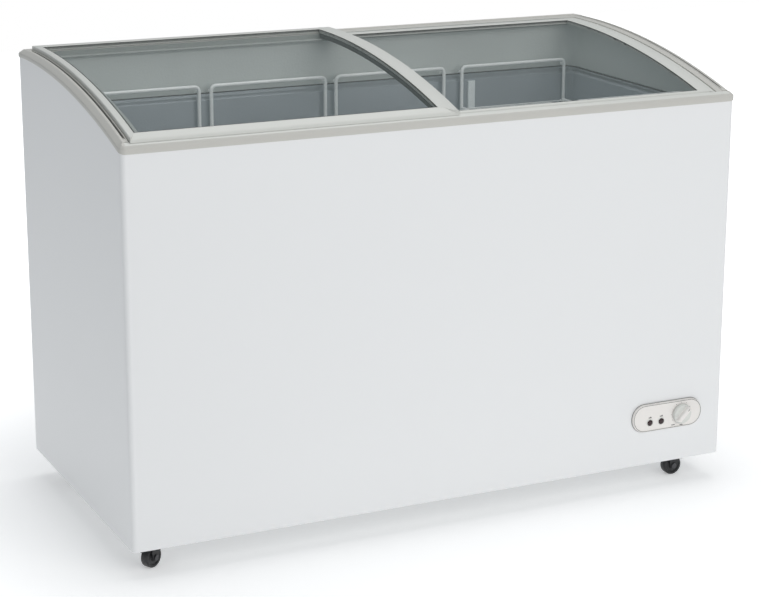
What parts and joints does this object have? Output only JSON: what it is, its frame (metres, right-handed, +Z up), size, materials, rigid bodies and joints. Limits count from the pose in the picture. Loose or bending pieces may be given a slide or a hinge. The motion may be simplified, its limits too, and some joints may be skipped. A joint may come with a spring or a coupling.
{
  "type": "chest freezer",
  "caption": "Retail chest freezer with curved sliding glass lids, hanging wire baskets, a control plate low on the front and swivel castors.",
  "frame": {"origin": "on the floor under the middle of the whole freezer", "axes": "+X right along the front, +Y from the front to the back, +Z up"},
  "size_m": [1.284, 0.643, 0.9044],
  "materials": {
    "white_paint": "smooth white pre-painted steel sheet, satin gloss",
    "zinc_steel": "plain galvanised sheet",
    "liner_aluminium": "stucco embossed sheet, satin",
    "foam": "closed-cell insulation foam",
    "trim_plastic": "warm light grey extruded plastic, satin",
    "lid_glass": "grey-green tinted tempered glass",
    "lid_seal_rubber": "black lip seal",
    "basket_wire": "white plastic-coated wire",
    "probe_cover": "white plastic cover strip",
    "panel_plastic": "off-white moulded plastic",
    "knob_plastic": "white moulded plastic",
    "lamp_plastic": "dark red translucent lens",
    "black_plastic": "black moulded plastic",
    "black_rubber": "black rubber",
    "black_enamel": "black enamelled steel shell",
    "copper": "drawn copper tube",
    "castor_plate": "zinc plated steel",
    "castor_plastic": "black moulded plastic",
    "axle_steel": "zinc plated steel"
  },
  "bodies": {
    "cabinet": {"cabinet_wrap": "white_paint", "back_panel": "zinc_steel", "base_plate": "zinc_steel", "compartment_shield": "zinc_steel", "compressor_cradle": "zinc_steel", "inner_liner": "liner_aluminium", "foam_insulation": "foam", "front_rail": "trim_plastic", "rear_rail": "trim_plastic", "left_arch_rail": "trim_plastic", "right_arch_rail": "trim_plastic", "probe_channel": "probe_cover", "control_plate": "panel_plastic", "drain_sleeve": "panel_plastic", "power_lamp": "lamp_plastic", "run_lamp": "lamp_plastic", "rear_grille": "black_plastic", "thermostat_body": "black_plastic", "start_relay": "black_plastic", "cord_gland": "black_rubber", "compressor": "black_enamel", "filter_drier": "copper", "discharge_line": "copper", "suction_line": "copper", "evaporator_coil": "copper", "condenser_coil": "copper", "castor_front_left_plate": "castor_plate", "castor_front_right_plate": "castor_plate", "castor_rear_left_plate": "castor_plate", "castor_rear_right_plate": "castor_plate"},
    "left_lid": {"left_lid_front_rail": "trim_plastic", "left_lid_rear_rail": "trim_plastic", "left_lid_left_stile": "trim_plastic", "left_lid_right_stile": "trim_plastic", "left_lid_glass": "lid_glass"},
    "right_lid": {"right_lid_front_rail": "trim_plastic", "right_lid_rear_rail": "trim_plastic", "right_lid_left_stile": "trim_plastic", "right_lid_right_stile": "trim_plastic", "right_lid_glass": "lid_glass", "right_lid_seal": "lid_seal_rubber"},
    "knob": {"thermostat_knob": "knob_plastic"},
    "plug": {"drain_plug": "black_rubber"},
    "basket_1_body": {"basket_1": "basket_wire"},
    "basket_2_body": {"basket_2": "basket_wire"},
    "basket_3_body": {"basket_3": "basket_wire"},
    "basket_4_body": {"basket_4": "basket_wire"},
    "castor_front_left_swivel": {"castor_front_left_fork": "castor_plastic", "castor_front_left_axle": "axle_steel"},
    "castor_front_left_roller": {"castor_front_left_wheel": "castor_plastic"},
    "castor_front_right_swivel": {"castor_front_right_fork": "castor_plastic", "castor_front_right_axle": "axle_steel"},
    "castor_front_right_roller": {"castor_front_right_wheel": "castor_plastic"},
    "castor_rear_left_swivel": {"castor_rear_left_fork": "castor_plastic", "castor_rear_left_axle": "axle_steel"},
    "castor_rear_left_roller": {"castor_rear_left_wheel": "castor_plastic"},
    "castor_rear_right_swivel": {"castor_rear_right_fork": "castor_plastic", "castor_rear_right_axle": "axle_steel"},
    "castor_rear_right_roller": {"castor_rear_right_wheel": "castor_plastic"}
  },
  "joints": [
    {"name": "left_lid_slide", "type": "slide", "parent": "cabinet", "child": "left_lid", "axis": [1, 0, 0], "range_m": [0, 0.588]},
    {"name": "right_lid_slide", "type": "slide", "parent": "cabinet", "child": "right_lid", "axis": [-1, 0, 0], "range_m": [0, 0.596]},
    {"name": "thermostat_turn", "type": "hinge", "parent": "cabinet", "child": "knob", "pos_m": [0.5395, -0.3005, 0.157], "axis": [0, 1, 0], "range_deg": [-180, 90]},
    {"name": "drain_plug_lift", "type": "slide", "parent": "cabinet", "child": "plug", "axis": [0, 0, 1], "range_m": [0, 0.04]},
    {"name": "basket_1_lift", "type": "slide", "parent": "cabinet", "child": "basket_1_body", "axis": [0, 0, 1], "range_m": [0, 0.007]},
    {"name": "basket_2_lift", "type": "slide", "parent": "cabinet", "child": "basket_2_body", "axis": [0, 0, 1], "range_m": [0, 0.007]},
    {"name": "basket_3_lift", "type": "slide", "parent": "cabinet", "child": "basket_3_body", "axis": [0, 0, 1], "range_m": [0, 0.007]},
    {"name": "basket_4_lift", "type": "slide", "parent": "cabinet", "child": "basket_4_body", "axis": [0, 0, 1], "range_m": [0, 0.007]},
    {"name": "castor_front_left_swivels", "type": "hinge", "parent": "cabinet", "child": "castor_front_left_swivel", "pos_m": [-0.576, -0.2385, 0], "axis": [0, 0, 1], "continuous": true},
    {"name": "castor_front_left_rolls", "type": "hinge", "parent": "castor_front_left_swivel", "child": "castor_front_left_roller", "pos_m": [-0.58639, -0.2445, 0.02074], "axis": [-0.5, 0.866, 0], "continuous": true},
    {"name": "castor_front_right_swivels", "type": "hinge", "parent": "cabinet", "child": "castor_front_right_swivel", "pos_m": [0.576, -0.2385, 0], "axis": [0, 0, 1], "continuous": true},
    {"name": "castor_front_right_rolls", "type": "hinge", "parent": "castor_front_right_swivel", "child": "castor_front_right_roller", "pos_m": [0.564, -0.2385, 0.02074], "axis": [0, 1, 0], "continuous": true},
    {"name": "castor_rear_left_swivels", "type": "hinge", "parent": "cabinet", "child": "castor_rear_left_swivel", "pos_m": [-0.576, 0.2515, 0], "axis": [0, 0, 1], "continuous": true},
    {"name": "castor_rear_left_rolls", "type": "hinge", "parent": "castor_rear_left_swivel", "child": "castor_rear_left_roller", "pos_m": [-0.576, 0.2395, 0.02074], "axis": [-1, 0, 0], "continuous": true},
    {"name": "castor_rear_right_swivels", "type": "hinge", "parent": "cabinet", "child": "castor_rear_right_swivel", "pos_m": [0.576, 0.2515, 0], "axis": [0, 0, 1], "continuous": true},
    {"name": "castor_rear_right_rolls", "type": "hinge", "parent": "castor_rear_right_swivel", "child": "castor_rear_right_roller", "pos_m": [0.57, 0.26189, 0.02074], "axis": [0.866, 0.5, 0], "continuous": true}
  ]
}
